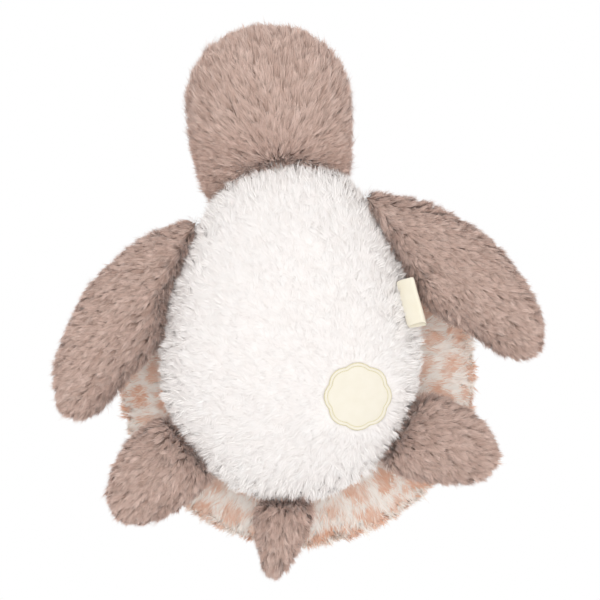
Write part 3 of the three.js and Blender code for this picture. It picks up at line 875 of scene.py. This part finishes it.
# From the edge inwards: the edge that is turned in, the raised rim, and the flat middle.
before = patch_radius
for ring, lift in ((0.0212, -0.0003), (0.0208, -0.0002), (0.0199, 0), (0.0195, 0.0003),
                   (0.0189, -0.0001), (0.0173, -0.0003), (0.0143, -0.0001), (0.0103, 0), (0.0063, 0),
                   (0.0023, 0)):
    bpy.ops.mesh.inset(thickness=0)
    bpy.ops.transform.resize(value=(ring / before, ring / before, 1))
    bpy.ops.transform.translate(value=(0, 0, lift))
    before = ring
bpy.ops.mesh.poke()
bpy.ops.mesh.select_all(action="SELECT")
bpy.ops.mesh.normals_make_consistent(inside=False)
bpy.ops.object.mode_set(mode="OBJECT")
shape = corners_of(patch)
shape[:, :2] += patch_middle
for place, (x, y, z) in enumerate(shape):
    shape[place, 2] = patch_level(x, y) + z
move_corners(patch, shape)
pick(patch)
bpy.ops.object.modifier_add(type="SOLIDIFY")
patch.modifiers[-1].thickness = 0.0006
patch.modifiers[-1].offset = 0
bpy.ops.object.modifier_apply(modifier=patch.modifiers[-1].name)
bpy.ops.object.shade_smooth()

cream_weave, _ = finish("cream_weave", mottle, {"Roughness": 0.85, "Sheen Weight": 0.3},
                        Scale=160, Detail=4, Dark=dye(236, 229, 211), Light=dye(243, 237, 223))
nodes = cream_weave.node_tree.nodes
links = cream_weave.node_tree.links
where = nodes.new("ShaderNodeTexCoord")
threads = []
for direction in ("X", "Y"):
    bands = nodes.new("ShaderNodeTexWave")
    bands.bands_direction = direction
    bands.inputs["Scale"].default_value = 420
    bands.inputs["Distortion"].default_value = 0.6
    bands.inputs["Detail"].default_value = 2
    links.new(where.outputs["Object"], bands.inputs["Vector"])
    threads.append(bands)
crossing = nodes.new("ShaderNodeMath")
crossing.operation = "MAXIMUM"
links.new(threads[0].outputs["Fac"], crossing.inputs[0])
links.new(threads[1].outputs["Fac"], crossing.inputs[1])
emboss(cream_weave, crossing.outputs[0], strength=0.35, distance=0.0002)
patch.data.materials.append(cream_weave)
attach(patch, "body")
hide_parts("name_patch")

yellow_thread, ply = finish("yellow_thread", mottle, {"Roughness": 0.45, "Sheen Weight": 0.4},
                            Scale=1500, Detail=2, Dark=dye(198, 186, 120), Light=dye(224, 214, 160))
emboss(yellow_thread, ply.outputs["Mask"], strength=0.4, distance=0.0001)

deselect()
bpy.ops.mesh.primitive_uv_sphere_add(segments=8, ring_count=6, radius=0.0001)
stitch = bpy.context.object
stitch_corners = corners_of(stitch) * (5.2, 2.1, 1.8)
stitch_faces = [tuple(face.vertices) for face in stitch.data.polygons]
bpy.ops.object.delete()
# The outer row of stitches is slanted over the edge, and the inner one runs along the rim.
places = []
faces = []
for radius, count, slant in ((patch_radius - 0.0003, 150, 1.1), (patch_radius - 0.0023, 96, 0.0)):
    for step in range(count):
        angle = 2 * math.pi * (step + 0.5) / count
        here = lobed_spot(angle, radius)
        ahead = lobed_spot(angle + 0.01, radius)
        bearing = math.atan2(*(ahead - here)[::-1]) + slant
        turn = np.array([[math.cos(bearing), -math.sin(bearing), 0],
                         [math.sin(bearing), math.cos(bearing), 0],
                         [0, 0, 1]])
        spot = here + patch_middle
        height = patch_level(*spot) - 0.0007
        faces += [tuple(corner + len(places) for corner in face) for face in stitch_faces]
        places += [tuple(corner) for corner in stitch_corners @ turn.T + (*spot, height)]
stitches = bpy.data.objects.new("patch_stitches", bpy.data.meshes.new("patch_stitches"))
stitches.data.from_pydata(places, [], faces)
scene.collection.objects.link(stitches)
pick(stitches)
bpy.ops.object.shade_smooth()
stitches.data.materials.append(yellow_thread)
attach(stitches, "body")
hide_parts("patch_stitching")

# The ribbon label: a strip of cream satin folded in two, its ends sewn to the belly's side.
# The loop stays a little open, so its round fold and the hollow between its layers show.
hinge = next(joint for joint in frame["joints"] if joint["name"] == "ribbon_fold")
seat = Vector(hinge["pos_m"])
along = Vector(hinge["axis"]).normalized()
low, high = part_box("ribbon_label")
out = (low + high) / 2 - seat
out = (out - along * out.dot(along)).normalized()
up = out.cross(along)
deselect()
bpy.ops.mesh.primitive_plane_add(size=0.001)
ribbon = bpy.context.object
ribbon.name = "ribbon_loop"
bpy.ops.object.mode_set(mode="EDIT")
bm = bmesh.from_edit_mesh(ribbon.data)
bmesh.ops.delete(bm, geom=list(bm.verts), context="VERTS")
ribbon_width = 0.03
strips = 12
fold_radius = 0.0019
fold = [(-0.0015, -0.0006), (0.002, -0.0014), (0.005, -0.0017), (0.008, -0.0018)]
for turn in np.linspace(0.15, math.pi - 0.15, 9):
    fold.append((0.0095 + fold_radius * math.sin(turn), -fold_radius * math.cos(turn)))
fold += [(0.008, 0.0017), (0.005, 0.0016), (0.002, 0.0012), (-0.0015, 0.0005)]
line = [bm.verts.new((x, -ribbon_width / 2, z)) for x, z in fold]
for before, after in zip(line, line[1:]):
    bm.edges.new((before, after)).select = True
bmesh.update_edit_mesh(ribbon.data)
for _ in range(strips):
    bpy.ops.mesh.extrude_region_move(TRANSFORM_OT_translate={"value": (0, ribbon_width / strips, 0)})
bpy.ops.mesh.select_all(action="SELECT")
bpy.ops.mesh.normals_make_consistent(inside=False)
bpy.ops.object.mode_set(mode="OBJECT")
shape = corners_of(ribbon)
# The loop gapes more at one end, is skewed so that this end shows, and waves a little.
across = shape[:, 1] / (ribbon_width / 2)
shape[:, 2] *= 1 + 0.25 * across
shape[:, 1] += 0.6 * shape[:, 2]
shape[:, 2] += 0.0005 * np.sin(across * 2.4) * np.clip(shape[:, 0] / 0.008, 0, 1)
move_corners(ribbon, shape @ np.array([out, along, up]) + np.array(seat))
for kind in ("SOLIDIFY", "SUBSURF"):
    bpy.ops.object.modifier_add(type=kind)
    if kind == "SOLIDIFY":
        ribbon.modifiers[-1].thickness = 0.00035
    else:
        ribbon.modifiers[-1].levels = 2
        ribbon.modifiers[-1].render_levels = 2
    bpy.ops.object.modifier_apply(modifier=ribbon.modifiers[-1].name)
bpy.ops.object.shade_smooth()
satin, _ = finish("cream_satin", mottle,
                  {"Roughness": 0.42, "Specular IOR Level": 0.4, "Sheen Weight": 0.3},
                  Scale=90, Detail=2, Dark=dye(240, 231, 208), Light=dye(247, 241, 224))
nodes = satin.node_tree.nodes
links = satin.node_tree.links
where = nodes.new("ShaderNodeTexCoord")
ribs = nodes.new("ShaderNodeTexWave")
ribs.inputs["Scale"].default_value = 900
ribs.inputs["Distortion"].default_value = 0.4
links.new(where.outputs["Object"], ribs.inputs["Vector"])
emboss(satin, ribs.outputs["Fac"], strength=0.2, distance=0.0001)
ribbon.data.materials.append(satin)
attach(ribbon, "ribbon_label")
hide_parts("ribbon_label")

bpy.data.objects.remove(body_cloth)
